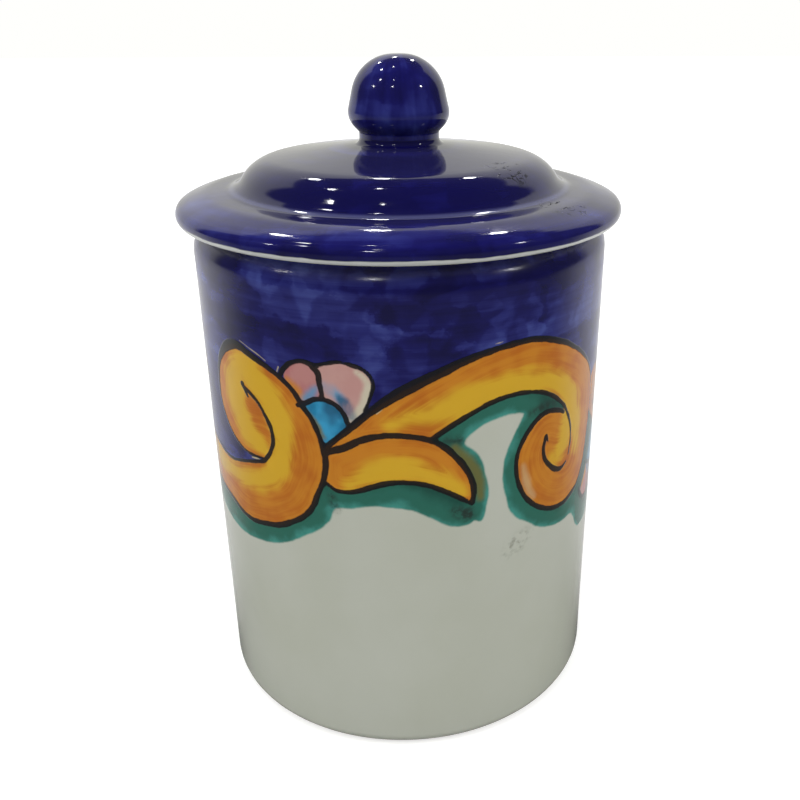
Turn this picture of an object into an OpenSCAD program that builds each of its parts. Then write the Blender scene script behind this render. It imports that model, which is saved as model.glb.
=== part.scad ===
// Spice jar of glazed earthenware: a straight jar with a foot ring, a loose stepped lid with a
// collar that drops into the mouth, a knob luted on the crown, and a seal ring on the collar.
// Every piece is turned about the Z axis, and the jar stands on Z = 0. Sizes are in millimetres.

/* [Jar] */
// Outside diameter of the jar's wall
jar_d = 90; // [70:0.5:120]
// Height from the table to the top of the lip
jar_h = 110.6; // [70:0.2:160]
// Thickness of the wall
wall_t = 5; // [3.5:0.1:7]
// Thickness of the floor above the foot recess
floor_t = 5.5; // [4:0.1:9]
// Rounding inside, where the floor meets the wall
inner_round = 9; // [3:0.5:14]
// Rounding of the outer bottom edge
foot_round = 3; // [1:0.1:5]
// Width of the flat foot ring
foot_w = 6; // [3:0.1:9]
// Depth of the recess inside the foot ring
foot_recess = 2.2; // [1:0.1:4]
// Distance by which the side of the foot recess leans in
foot_lean = 1.5; // [0.5:0.1:3]
// Rounding between the side and the top of the foot recess
recess_round = 1.2; // [0.2:0.1:2]
// Rounding of the foot ring's inner edge
ring_edge_round = 0.6; // [0.2:0.1:1.5]

/* [Lip] */
// Distance by which the wall leans in at the lip
lip_lean = 2.8; // [1:0.1:3]
// Height of the leaning stretch below the lip
lip_lean_h = 2.1; // [1:0.1:4]
// Rounding where the wall turns in to the lip
lip_round = 7; // [2:0.1:10]
// Rounding of the lip's outer edge
lip_outer_round = 1; // [0.5:0.1:2]
// Rounding of the lip's inner edge
lip_inner_round = 1.2; // [0.5:0.1:1.5]

/* [Lid] */
// Distance by which the lid's rim stands out past the jar's wall
rim_overhang = 2.9; // [1.5:0.1:5]
// Height of the rim's outer edge
rim_t = 4.7; // [3.5:0.1:7]
// Rounding of the rim's upper edge
rim_top_round = 3; // [1:0.1:4]
// Rounding of the rim's lower edge
rim_under_round = 2.2; // [1:0.1:3]
// Width of the rim's underside that rises to its outer edge
rim_under_w = 3.7; // [2:0.1:5]
// Height by which the rim's underside rises
rim_under_rise = 1.1; // [0.3:0.1:2]
// Rounding where the rim's underside starts to rise
rim_seat_round = 1.5; // [0.5:0.1:3]
// Width of the sloping brow between the rim and the flange
brow_w = 6.5; // [3:0.1:8]
// Rise of the brow from the rim to the flange
brow_rise = 1; // [0.5:0.05:3]
// Rounding where the brow meets the flange
brow_round = 12; // [3:0.5:15]
// Rise of the flange from the brow to the dome
flange_rise = 0.6; // [0:0.05:1]
// Diameter of the dome where it leaves the flange
dome_d = 70; // [60:0.2:73]
// Rounding between the flange and the dome
dome_foot_round = 1.8; // [0.5:0.1:3]
// Height of the dome's side
dome_h = 5.9; // [4:0.05:10]
// Distance by which the dome's side leans in
dome_lean = 2.4; // [1:0.05:5]
// Rounding of the dome's shoulder
shoulder_round = 9.2; // [3:0.1:9.5]
// Rise of the crown from the shoulder to the knob
crown_rise = 3.1; // [1:0.1:5]
// Thickness of the crown below its shoulder
crown_t = 3.5; // [2.5:0.1:5]
// Distance by which the hollow under the lid narrows towards its ceiling
hollow_taper = 10; // [5:0.5:14]
// Rounding of the hollow at its ceiling
hollow_round = 5; // [1:0.5:8]
// Rounding where the hollow leaves the collar
spring_round = 4; // [1:0.5:6]

/* [Collar and seal] */
// Gap all round between the lid's collar and the jar's mouth
collar_gap = 1; // [0.6:0.1:2]
// Depth of the collar below the lip
collar_depth = 10; // [8:0.2:16]
// Thickness of the collar's wall
collar_t = 4; // [3:0.1:6]
// Rounding of the collar's lower edges
collar_round = 1.4; // [0.5:0.1:1.8]
// Rounding between the collar and the flange's underside
collar_root_round = 0.8; // [0.2:0.1:1]
// Distance from the lip down to the middle of the seal's groove
groove_drop = 5.2; // [4:0.1:6]
// Height of the seal's groove
groove_h = 4; // [3:0.1:5]
// Depth of the seal's groove in the collar
groove_depth = 1.8; // [1:0.1:2.2]
// Running gap between the seal ring and the bottom of its groove
seal_bore_gap = 0.05; // [0.02:0.01:0.1]
// Gap between the seal ring and each side of its groove
seal_side_gap = 0.1; // [0.05:0.05:0.3]
// Gap between the seal's lips and the jar's mouth
seal_mouth_gap = 0.15; // [0.1:0.05:0.3]
// Thickness of the seal's band in its groove
seal_band_t = 1.2; // [0.8:0.1:1.6]
// Height of one lip of the seal
seal_lip_h = 0.8; // [0.5:0.1:1]
// Number of lips round the seal
seal_lips = 2; // [1:1:3]

/* [Knob] */
// Diameter of the knob at its widest corner, before rounding
knob_d = 22.2; // [18:0.2:30]
// Diameter of the knob at its top corner, before rounding
knob_top_d = 16.4; // [12:0.2:18]
// Height of the knob from its widest corner to its top
knob_h = 12.7; // [9:0.1:18]
// Rounding of the knob's top
knob_top_round = 9.2; // [4:0.1:9.5]
// Rounding of the knob's widest part
knob_side_round = 4.1; // [1:0.1:5]
// Height of the knob's underside, from the neck to its widest corner
knob_under_h = 2.7; // [1.5:0.1:5]
// Diameter of the neck
neck_d = 17.1; // [14:0.1:18]
// Height of the neck above the crown
neck_h = 2.4; // [1.5:0.1:5]
// Rounding at the top of the neck
neck_top_round = 0.6; // [0.2:0.1:1]
// Rounding between the neck and the crown
neck_foot_round = 1.3; // [0.3:0.1:1.4]
// Height of the seat above the crown on which the knob is luted
knob_seat_h = 1.4; // [0.4:0.1:1.4]
// Diameter of the knob's tenon
tenon_d = 9; // [5:0.2:12]
// Length of the knob's tenon
tenon_l = 4; // [2:0.1:5]
// Joint of slip all round the tenon
tenon_gap = 0.1; // [0.05:0.05:0.3]

/* [Hidden] */

// Steps in each rounded corner of an outline, and sides of a turned piece in the preview
arc_steps = 12;
$fn = 128;

// Jar
jar_r = jar_d / 2;
mouth_r = jar_r - wall_t;
lip_r = jar_r - lip_lean;
floor_z = foot_recess + floor_t;
foot_in_r = jar_r - foot_round - foot_w;

// Lid, whose flange rests on the lip
rim_r = jar_r + rim_overhang;
rim_top_z = jar_h + rim_t;
brow_z = rim_top_z + brow_rise;
dome_foot_z = brow_z + flange_rise;
dome_r = dome_d / 2;
shoulder_z = dome_foot_z + dome_h;
shoulder_r = dome_r - dome_lean;
crown_z = shoulder_z + crown_rise;
ceiling_z = shoulder_z - crown_t;

// Collar and the seal's groove
collar_r = mouth_r - collar_gap;
collar_in_r = collar_r - collar_t;
collar_z = jar_h - collar_depth;
ceiling_r = collar_in_r - hollow_taper;
groove_z = jar_h - groove_drop - groove_h / 2;
groove_r = collar_r - groove_depth;

// Seal ring
seal_in_r = groove_r + seal_bore_gap;
seal_out_r = mouth_r - seal_mouth_gap;
seal_z = groove_z + seal_side_gap;
seal_h = groove_h - 2 * seal_side_gap;
seal_lip_pitch = seal_lips > 1 ? (seal_h - seal_lip_h) / (seal_lips - 1) : 0;

// Knob
neck_r = neck_d / 2;
knob_r = knob_d / 2;
knob_top_r = knob_top_d / 2;
seat_z = crown_z + knob_seat_h;
neck_top_z = crown_z + neck_h;
knob_wide_z = neck_top_z + knob_under_h;
knob_top_z = knob_wide_z + knob_h;
tenon_r = tenon_d / 2;
socket_r = tenon_r + tenon_gap;
socket_z = seat_z - tenon_l - tenon_gap;

// Glaze colours
white_glaze = "#dcdcd4";
cobalt_glaze = "#1f2058";
clear_silicone = "#d9dcda";

// A corner of an outline is [radius from the axis, height, rounding]
function place(corner) = [corner[0], corner[1]];
function unit(v) = v / norm(v);
function before(corners, i) = corners[(i + len(corners) - 1) % len(corners)];
function after(corners, i) = corners[(i + 1) % len(corners)];

// Half of the angle inside corner i
function half_angle(corners, i) =
    let (to_before = unit(place(before(corners, i)) - place(corners[i])))
    let (to_after = unit(place(after(corners, i)) - place(corners[i])))
    acos(max(-1, min(1, to_before * to_after))) / 2;

// Length of side that the rounding of corner i takes up
function reach(corners, i) =
    corners[i][2] == 0 ? 0 : corners[i][2] / tan(half_angle(corners, i));

// Share of the roundings at both ends of side i that the side has room for
function room(corners, i) =
    let (next = (i + 1) % len(corners))
    let (wanted = reach(corners, i) + reach(corners, next))
    let (side = norm(place(corners[next]) - place(corners[i])))
    wanted > side ? side / wanted : 1;

// Arc that rounds corner i, or the corner itself where it is sharp
function corner_arc(corners, i) =
    let (last = (i + len(corners) - 1) % len(corners))
    let (p = place(corners[i]))
    let (radius = corners[i][2] * min(room(corners, last), room(corners, i)))
    let (half = half_angle(corners, i))
    let (to_before = unit(place(corners[last]) - p))
    let (to_after = unit(place(after(corners, i)) - p))
    let (turn = 180 - 2 * half)
    radius == 0 || turn < 0.01 ? [p] :
    let (centre = p + unit(to_before + to_after) * radius / sin(half))
    let (start = p + to_before * radius / tan(half) - centre)
    let (end = p + to_after * radius / tan(half) - centre)
    [
        for (k = [0 : arc_steps])
            let (t = k / arc_steps)
            centre + (sin((1 - t) * turn) * start + sin(t * turn) * end) / sin(turn)
    ];

function rounded(corners) = [for (i = [0 : len(corners) - 1]) each corner_arc(corners, i)];

// Solid turned about the Z axis from an outline of corners
module turned(corners) {
    rotate_extrude()
        polygon(rounded(corners));
}

module jar_body() {
    color(white_glaze)
        turned([
            [0, foot_recess, 0],
            [foot_in_r - foot_lean, foot_recess, recess_round],
            [foot_in_r, 0, ring_edge_round],
            [jar_r, 0, foot_round],
            [jar_r, jar_h - lip_lean_h, lip_round],
            [lip_r, jar_h, lip_outer_round],
            [mouth_r, jar_h, lip_inner_round],
            [mouth_r, floor_z, inner_round],
            [0, floor_z, 0]
        ]);
}

module lid_shell() {
    color(cobalt_glaze)
        turned([
            [0, socket_z, 0],
            [socket_r, socket_z, 0],
            [socket_r, seat_z, 0],
            [neck_r, seat_z, 0],
            [neck_r, crown_z, neck_foot_round],
            [shoulder_r, shoulder_z, shoulder_round],
            [dome_r, dome_foot_z, dome_foot_round],
            [rim_r - brow_w, brow_z, brow_round],
            [rim_r, rim_top_z, rim_top_round],
            [rim_r, jar_h + rim_under_rise, rim_under_round],
            [rim_r - rim_under_w, jar_h, rim_seat_round],
            [collar_r, jar_h, collar_root_round],
            [collar_r, groove_z + groove_h, 0],
            [groove_r, groove_z + groove_h, 0],
            [groove_r, groove_z, 0],
            [collar_r, groove_z, 0],
            [collar_r, collar_z, collar_round],
            [collar_in_r, collar_z, collar_round],
            [collar_in_r, jar_h, spring_round],
            [ceiling_r, ceiling_z, hollow_round],
            [0, ceiling_z, 0]
        ]);
}

module lid_knob() {
    color(cobalt_glaze)
        turned([
            [0, seat_z - tenon_l, 0],
            [tenon_r, seat_z - tenon_l, 0],
            [tenon_r, seat_z, 0],
            [neck_r, seat_z, 0],
            [neck_r, neck_top_z, neck_top_round],
            [knob_r, knob_wide_z, knob_side_round],
            [knob_top_r, knob_top_z, knob_top_round],
            [0, knob_top_z, 0]
        ]);
}

module seal_ring() {
    color(clear_silicone)
        rotate_extrude() {
            translate([seal_in_r, seal_z])
                square([seal_band_t, seal_h]);
            for (lip = [0 : seal_lips - 1])
                translate([seal_in_r, seal_z + lip * seal_lip_pitch])
                    square([seal_out_r - seal_in_r, seal_lip_h]);
        }
}

jar_body();
lid_shell();
lid_knob();
seal_ring();
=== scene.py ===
# A hand-painted earthenware spice jar: the looks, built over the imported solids.
# Sizes are in millimetres, and MM turns them into Blender's metres.
from math import cos, pi, radians, sin

import bpy
import numpy as np
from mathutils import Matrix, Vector


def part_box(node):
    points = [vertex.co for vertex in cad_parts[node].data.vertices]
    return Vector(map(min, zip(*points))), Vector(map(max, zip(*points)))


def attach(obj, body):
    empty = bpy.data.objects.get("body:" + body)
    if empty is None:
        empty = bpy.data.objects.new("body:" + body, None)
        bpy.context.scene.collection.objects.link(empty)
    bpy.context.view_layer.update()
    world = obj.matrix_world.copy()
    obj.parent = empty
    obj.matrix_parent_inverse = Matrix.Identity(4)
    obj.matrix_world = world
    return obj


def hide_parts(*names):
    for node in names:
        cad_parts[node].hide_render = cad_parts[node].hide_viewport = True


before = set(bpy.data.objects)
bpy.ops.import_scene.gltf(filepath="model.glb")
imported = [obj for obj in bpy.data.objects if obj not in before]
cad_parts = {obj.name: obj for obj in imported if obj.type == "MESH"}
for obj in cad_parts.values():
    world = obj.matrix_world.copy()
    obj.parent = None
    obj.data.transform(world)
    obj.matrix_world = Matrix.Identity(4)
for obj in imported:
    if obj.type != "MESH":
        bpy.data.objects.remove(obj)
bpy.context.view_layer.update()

MM = 0.001


def node_box(node):
    """Lowest and highest corner of a solid, in millimetres."""
    low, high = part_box(node)
    return np.array(low) / MM, np.array(high) / MM


jar_high = node_box("jar_body")[1]
lid_low, lid_high = node_box("lid_shell")
knob_low, knob_high = node_box("lid_knob")
seal_low, seal_high = node_box("seal_ring")

# The jar's turned sizes
LIP_Z = jar_high[2]
WALL_R = 45.0
WALL_T = 5.0
LIP_LEAN = 2.8
LIP_LEAN_H = 2.1
MOUTH_R = WALL_R - WALL_T
FLOOR_Z = 7.7
FOOT_ROUND = 3.0
FOOT_R = 36.0
FOOT_RECESS = 2.2

# The lid's turned sizes
RIM_R = WALL_R + 2.9
RIM_TOP_Z = LIP_Z + 4.7
RIM_UNDER_W = 3.7
RIM_UNDER_RISE = 1.1
BROW_R = RIM_R - 6.3
BROW_Z = RIM_TOP_Z + 1.65
RIM_TURN_R = RIM_R - 2.5
RIM_TURN_Z = RIM_TOP_Z + 0.45
RIM_EDGE_Z = RIM_TOP_Z - 0.7
DOME_R = 35.2
DOME_FOOT_Z = BROW_Z + 0.35
COVE_R = DOME_R + 0.9
SHOULDER_R = DOME_R - 3.6
SHOULDER_Z = RIM_TOP_Z + 7.65
CROWN_Z = SHOULDER_Z + 2.95
CEILING_Z = SHOULDER_Z - 3.65
CEILING_R = 25.0
COLLAR_R = MOUTH_R - 1.0
COLLAR_IN_R = COLLAR_R - 4.0
COLLAR_Z = lid_low[2]
GROOVE_R = COLLAR_R - 1.8
GROOVE_LOW_Z = seal_low[2] - 0.1
GROOVE_TOP_Z = seal_high[2] + 0.1

# The knob's turned sizes
SEAT_Z = lid_high[2]
NECK_R = 8.55
NECK_TOP_Z = CROWN_Z + 2.4
KNOB_R = 11.1
KNOB_WIDE_Z = NECK_TOP_Z + 2.7
KNOB_TOP_R = 8.2
KNOB_TOP_Z = knob_high[2]
TENON_R = 4.5
TENON_Z = knob_low[2]
SOCKET_R = TENON_R + 0.1
SOCKET_Z = TENON_Z - 0.1

# The seal's turned sizes
SEAL_IN_R = GROOVE_R + 0.05
SEAL_OUT_R = seal_high[0]
SEAL_BAND_R = SEAL_IN_R + 1.2
SEAL_LIP_H = 0.8

# Steps round a turned piece, and the heights between which the wall is finely divided to be painted
JAR_STEPS = 540
LID_STEPS = 420
KNOB_STEPS = 240
SEAL_STEPS = 240
PAINTED_LOW_Z = 41.0
PAINTED_TOP_Z = 96.0
PAINTED_ROW = 0.48


def glaze(red, green, blue):
    """A glaze colour as the eye sees it, 0 to 255, turned into the linear colour a shader takes."""
    shown = np.array([red, green, blue]) / 255
    linear = np.where(shown <= 0.04045, shown / 12.92, ((shown + 0.055) / 1.055) ** 2.4)
    return (*linear, 1.0)


WHITE = glaze(185, 188, 177)
WHITE_SHADOW = glaze(180, 183, 170)
# The lid's white is lighter than the jar's: painted light making up for the shade under the rim
LID_WHITE_PAINTED_LIGHT = glaze(208, 210, 208)
LID_WHITE_PAINTED_LIGHT_MOTTLE = glaze(202, 205, 201)
CREAM = glaze(196, 190, 168)
SLIP = glaze(196, 182, 142)
GRIME = glaze(116, 116, 104)
BISCUIT = glaze(190, 150, 118)
BISCUIT_DARK = glaze(172, 128, 96)
COBALT_DEEP = glaze(9, 7, 60)
COBALT = glaze(17, 16, 82)
COBALT_THIN = glaze(36, 40, 108)
COBALT_PALE = glaze(66, 78, 146)
PINPRICK = glaze(170, 176, 205)
ORANGE = glaze(192, 122, 32)
ORANGE_DEEP = glaze(174, 96, 22)
YELLOW = glaze(205, 163, 40)
TEAL = glaze(39, 99, 85)
TEAL_PALE = glaze(64, 140, 130)
TEAL_DEEP = glaze(26, 74, 64)
OLIVE = glaze(110, 100, 42)
BLOT = glaze(34, 46, 42)
PINK = glaze(186, 144, 137)
PINK_DEEP = glaze(177, 124, 120)
ROSE = glaze(166, 100, 104)
SKY = glaze(30, 126, 168)
SKY_PALE = glaze(54, 148, 190)
SKY_DEEP = glaze(30, 84, 118)
INK = glaze(14, 14, 16)
# Pale grey of the ring in the lid's cove at the dome's foot
COVE_PALE_GREY = glaze(104, 107, 148)
SCRAPE = glaze(12, 12, 22)
SILICONE = glaze(205, 208, 204)
SILICONE_SHADOW = glaze(188, 192, 186)
FLOOR_PALE = glaze(188, 188, 186)
FLOOR_PALER = glaze(192, 192, 190)
FLOOR_MIRRORED = glaze(105, 105, 104)


# Turned pieces

def unit(run):
    return run / np.linalg.norm(run)


def rounded(corners, arc_step=7.0):
    """Points of an outline of (radius, height, rounding) corners, each rounding an arc of short steps.
    Where a side is too short for the roundings at its two ends, both shrink to fit."""
    places = [np.array(corner[:2], float) for corner in corners]
    count = len(corners)
    half, reach = [], []
    for i, corner in enumerate(corners):
        back = unit(places[i - 1] - places[i])
        ahead = unit(places[(i + 1) % count] - places[i])
        half.append(np.arccos(np.clip(back @ ahead, -1, 1)) / 2)
        reach.append(corner[2] / np.tan(half[i]) if corner[2] else 0.0)
    share = []
    for i in range(count):
        side = np.linalg.norm(places[(i + 1) % count] - places[i])
        wanted = reach[i] + reach[(i + 1) % count]
        share.append(min(1.0, side / wanted) if wanted else 1.0)
    points = []
    for i, corner in enumerate(corners):
        radius = corner[2] * min(share[i - 1], share[i])
        if radius == 0:
            points.append(places[i])
            continue
        back = unit(places[i - 1] - places[i])
        ahead = unit(places[(i + 1) % count] - places[i])
        centre = places[i] + unit(back + ahead) * radius / sin(half[i])
        start = places[i] + back * radius / np.tan(half[i]) - centre
        end = places[i] + ahead * radius / np.tan(half[i]) - centre
        turn = pi - 2 * half[i]
        steps = max(2, round(np.degrees(turn) / arc_step))
        for t in np.linspace(0, 1, steps + 1):
            points.append(centre + (sin((1 - t) * turn) * start + sin(t * turn) * end) / sin(turn))
    return points


def divided(points, longest, fine_rows=None):
    """The outline with its long sides cut into shorter ones. The wall is cut finely where fine_rows says,
    as (low z, top z, row)."""
    out = [points[0]]
    for here, there in zip(points, points[1:]):
        cuts = [0.0, 1.0]
        if fine_rows and here[0] > MOUTH_R + 1 and abs(there[1] - here[1]) > 10:
            low, top, row = fine_rows
            heights = np.linspace(low, top, round((top - low) / row) + 1)
            cuts = [0.0, *((heights - here[1]) / (there[1] - here[1])), 1.0]
        for a, b in zip(cuts, cuts[1:]):
            length = np.linalg.norm(there - here) * (b - a)
            for t in np.linspace(a, b, max(1, round(length / longest)) + 1)[1:]:
                out.append(here + t * (there - here))
    return out


def turned_piece(name, points, steps):
    """Draw a half outline in edit mode, point by point, and turn it about the jar's axis."""
    places = [Vector((radius * MM, 0, height * MM)) for radius, height in points]
    bpy.ops.object.select_all(action="DESELECT")
    bpy.ops.mesh.primitive_plane_add(size=MM, location=(0, 0, 0))
    piece = bpy.context.object
    piece.name = name
    piece.data.name = name
    bpy.ops.object.mode_set(mode="EDIT")
    bpy.ops.mesh.merge(type="CENTER")
    bpy.ops.transform.translate(value=places[0])
    for here, there in zip(places, places[1:]):
        bpy.ops.mesh.extrude_region_move(TRANSFORM_OT_translate={"value": there - here})
    bpy.ops.object.mode_set(mode="OBJECT")
    turn = piece.modifiers.new("turned", "SCREW")
    turn.axis = "Z"
    turn.steps = steps
    turn.render_steps = steps
    turn.use_merge_vertices = True
    turn.merge_threshold = 0.01 * MM
    bpy.ops.object.modifier_apply(modifier=turn.name)
    bpy.ops.object.mode_set(mode="EDIT")
    bpy.ops.mesh.select_all(action="SELECT")
    bpy.ops.mesh.remove_doubles(threshold=0.01 * MM)
    bpy.ops.mesh.normals_make_consistent(inside=False)
    bpy.ops.object.mode_set(mode="OBJECT")
    bpy.ops.object.shade_smooth_by_angle(angle=radians(50))
    return piece


def spots_of(piece):
    """Every point of a piece in millimetres, as (x, y, z)."""
    flat = np.zeros(3 * len(piece.data.vertices), np.float32)
    piece.data.vertices.foreach_get("co", flat)
    return flat.reshape(-1, 3).astype(float) / MM


def set_mark(piece, name, values):
    """Store one number at each point of a piece, for its material to read."""
    mark = piece.data.attributes.new(name, "FLOAT", "POINT")
    mark.data.foreach_set("value", np.asarray(values, np.float32))


def uneven(piece, share, height, spread):
    """Give a thrown piece the slight unevenness of a hand's work, as much as share says from 0 to 1."""
    group = piece.vertex_groups.new(name="outside")
    level = np.rint(np.clip(share, 0, 1) * 8)
    for step in range(1, 9):
        group.add([int(i) for i in np.flatnonzero(level == step)], step / 8, "REPLACE")
    waves = bpy.data.textures.new(piece.name + "_waves", "CLOUDS")
    waves.noise_scale = spread * MM
    waves.noise_depth = 1
    displace = piece.modifiers.new("thrown", "DISPLACE")
    displace.texture = waves
    displace.texture_coords = "LOCAL"
    displace.strength = height * MM
    displace.mid_level = 0.5
    displace.vertex_group = group.name
    bpy.context.view_layer.objects.active = piece
    bpy.ops.object.modifier_apply(modifier=displace.name)
    piece.vertex_groups.clear()


# Painted ornament. The wall is thought of as unrolled: u runs round it in millimetres, 0 at the front
# and rising to the right, and z is the height. A brush line is a list of (u, z, width) points.
# The frieze has two repeats round the jar, each of two scrolls that curl in turn upwards and downwards.
REPEAT = pi * WALL_R
# A line or outline is followed no further than this outside it
FAR = 4.0
# Where the rising scroll forks, where the dipping one does, and where the bud under that one springs
FORK = (-16.0, 74.0)
DIP_FORK = (-90.1, 71.5)
HANGING_FORK = (56.5, 66.0)
DIP_STRETCH = 1.12

# Scroll that rises from the left and curls down: its outer outline runs from its spring into the curl
ARCH_OUTER = [
    (-16.1, 74.3, 1.2), (-11.5, 78.3, 1.5), (-6.1, 83.1, 1.8), (-1, 86.6, 2.4), (4.7, 89.5, 2.3),
    (12.4, 92.5, 1.7), (19.7, 94, 1.4), (27.3, 94, 1.4), (35.7, 91.3, 1.3), (44, 86.4, 1.0),
    (49, 81.6, 0.7), (51, 76, 0.6), (50.6, 68, 0.6), (48.4, 59.6, 0.7), (45.4, 55.4, 0.9),
    (43, 54.1, 1.2), (38.6, 53.1, 1.3), (33.2, 54, 1.3), (27.7, 57.4, 1.3), (24.2, 62.6, 1.2),
    (23.2, 68.8, 1.2), (25, 73.4, 1.3), (28.2, 76.5, 1.4), (31.5, 77.4, 1.3), (35.2, 76.5, 1.2),
    (36.9, 75.5, 0.9),
]
ARCH_UNDER = [
    (5, 76.8, 1.4), (8.9, 79.3, 1.3), (13.5, 81.6, 1.2), (17.3, 83, 1.2), (21.9, 83.6, 1.1),
    (26.5, 83.1, 1.1), (31.5, 81.3, 1.1), (36.5, 77.4, 1), (39.4, 72.6, 0.8), (40.3, 68.5, 0.6),
    (39.7, 64.7, 0.5),
]
ARCH_UNDER_TO_CURL = 8
ARCH_HOOK = [
    (38.8, 63.2, 0.5), (36.9, 62.4, 1.2), (34.8, 63, 1.4), (32.7, 64.7, 1.3), (31.1, 66.7, 1.2),
    (30.5, 69.2, 1.1), (31.1, 71.7, 1.3),
]
ARCH_BARB = [(31.2, 71.9, 1.2), (31.9, 70.5, 0.5)]
ARCH_YELLOW = [
    (-3, 80, 1), (1, 81.4, 3.6), (6, 81.9, 5.2), (12, 83.8, 5.6), (18, 85.1, 5.4), (24, 85.5, 5),
    (30, 84.4, 5.2), (35.5, 81.9, 5.2), (39.4, 77.6, 4.8), (41.8, 72.5, 4), (42.8, 67.5, 2.6),
    (42.6, 64, 1),
]
ARCH_CURL_YELLOW = [
    (37.8, 75, 1), (38.2, 72.5, 3), (37.6, 69.5, 4), (36.4, 67, 3.6), (35, 65.4, 2), (33.6, 66.4, 1),
]

# Leaf under the rising scroll
LEAF_TOP = [
    (-16, 73.2, 1.4), (-11.8, 74.9, 1.7), (-8.8, 76.6, 1.6), (-4.9, 77.7, 1.4), (-1.1, 77.8, 1.3),
    (2.8, 77.2, 1.3), (5.8, 76, 1.4), (8.5, 73.9, 1.5), (11.2, 70.6, 1.4), (12.8, 67.5, 1.4),
    (13.5, 64.5, 1.4), (13.3, 61.6, 1.1),
]
LEAF_BOTTOM = [
    (13.2, 61.5, 1), (10.5, 63.3, 1.2), (7.8, 65, 1.2), (4.7, 66.6, 1.2), (1.2, 67.5, 1.2),
    (-1.8, 67.7, 1.3), (-4.5, 67.3, 1.4), (-7.2, 66.4, 1.3), (-9.9, 65.4, 1.2), (-12.2, 65, 1.1),
    (-14.2, 65.2, 1), (-16.3, 66.5, 1),
]
LEAF_YELLOW = [
    (-11.5, 66.4, 1.4), (-8, 68.4, 3.4), (-4, 70, 4.6), (0, 70.2, 4.6), (4, 68.9, 4), (8, 66.6, 2.8),
    (11, 64.2, 1.4),
]

# Scroll that dips from the left and curls up: its outer outline runs on round the lobe
DIP_OUTER = [
    (-90.1, 70.4, 0), (-85, 66, 0.8), (-79, 62, 1.6), (-72, 58.8, 2.2), (-66, 56.4, 1.9),
    (-60, 54.9, 1.5), (-54, 54.2, 1.3), (-46, 53.3, 1.2), (-41, 51.9, 1.2), (-37, 51.6, 1.3),
    (-32.3, 52.5, 1.4), (-28.6, 53.5, 1.4), (-25.7, 55, 1.4), (-22.3, 57.2, 1.4), (-19.8, 60, 1.4),
    (-18, 64, 1.3), (-16.7, 67.2, 1.4), (-16.1, 71.5, 1.5), (-17, 76.4, 1.3), (-18.6, 80.2, 1.3),
    (-20.5, 82.7, 1.4), (-22.3, 85.4, 1.3), (-25, 87.5, 1.3), (-28, 89, 1.3), (-31.5, 90.2, 1.5),
    (-36.5, 91.6, 1.9), (-40.5, 90.6, 2.3), (-43.8, 87.9, 1.8), (-45.8, 84.5, 1.2), (-46.6, 80.5, 0.9),
    (-46.3, 77, 0.7), (-45, 74, 0.7), (-43, 71.5, 0.7), (-40.5, 69.5, 0.7), (-38, 68.4, 0.7),
    (-35, 68, 0.7), (-31.5, 68.3, 0.7),
]
DIP_HOOK = [
    (-35.4, 82.9, 1), (-33.5, 82, 1), (-31.5, 80.5, 1), (-30, 78.5, 1.1), (-28.8, 76.5, 1.2),
    (-28.3, 74.5, 1.2), (-28.4, 72.5, 1.2), (-29.3, 70.5, 1.1), (-30.5, 68.8, 1.1), (-31.7, 67.7, 1.2),
    (-33.5, 66.9, 1), (-36.5, 66, 0.9), (-40, 64.9, 0.9), (-43, 64.1, 0.9), (-46, 63.9, 0.9),
    (-50, 64.4, 0.9), (-56, 65.3, 1), (-61, 67.2, 1.1), (-66, 70, 1.2),
]
DIP_HOOK_FROM_LOBE = 9
DIP_BARB = [(-36.2, 83.6, 1.3), (-34.7, 81.2, 0.6)]
DIP_YELLOW = [
    (-37, 88, 4), (-33, 86.8, 6), (-29.5, 83.5, 7), (-26.8, 79, 6.5), (-25.6, 74.5, 5.5),
    (-26.2, 70.2, 5), (-28.2, 66.6, 5), (-31.5, 63.8, 4.6), (-36, 62.2, 4.2), (-41, 61.2, 4),
    (-50, 61, 4), (-58, 62, 4.5), (-66, 64.5, 5), (-72, 66, 4), (-78, 68, 1.5),
]
DIP_LOBE_YELLOW = [
    (-38.5, 86.5, 5), (-39.5, 82, 7), (-38.8, 78, 6.4), (-36.5, 74.5, 6), (-33.5, 72.2, 5),
    (-31.5, 71, 3),
]

# Bud that springs from the fork
BUD_LEFT_PETAL = [
    (-24.1, 87.8), (-23.9, 88.9), (-22.4, 90.8), (-19.7, 91.8), (-17.5, 91), (-16.5, 89.2),
    (-16.2, 87.1), (-15.9, 84.8), (-18, 84.2), (-20.2, 83.2), (-21.5, 84.7),
]
BUD_RIGHT_PETAL = [
    (-16.9, 91.2), (-12.2, 92.3), (-8.9, 91.7), (-6.6, 89.9), (-6, 88.1), (-6.7, 85.8), (-7.7, 83),
    (-9.8, 81), (-11, 79.8), (-11.8, 82), (-13.4, 83.7), (-15.9, 84.8), (-16.3, 87.9),
]
BUD_BASE = [
    (-21.3, 82.5), (-19.5, 83.3), (-17.6, 84.3), (-15.3, 84.5), (-13.4, 83.7), (-11.8, 82), (-11, 80),
    (-13.2, 77.4), (-15.6, 75.2), (-17.2, 77.5), (-19, 80.5),
]
BUD_OUTLINE = [
    (-25.2, 87.6, 1.2), (-24.4, 89.2, 1.3), (-22.6, 90.9, 1.1), (-20.1, 91.8, 1), (-17.9, 91.4, 1.1),
    (-16.5, 91.5, 0.9), (-12.8, 92.4, 0.8), (-10.2, 92.1, 0.9), (-7.6, 91.2, 1), (-6.3, 89.7, 1),
    (-5.9, 87.9, 0.9), (-6.6, 85.4, 0.8), (-7.6, 83.1, 0.8),
]
BUD_DIVIDER = [(-17.7, 91, 1.3), (-16.6, 89.8, 1.3), (-16.4, 87.9, 1.3), (-15.9, 84.8, 1.2)]
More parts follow.
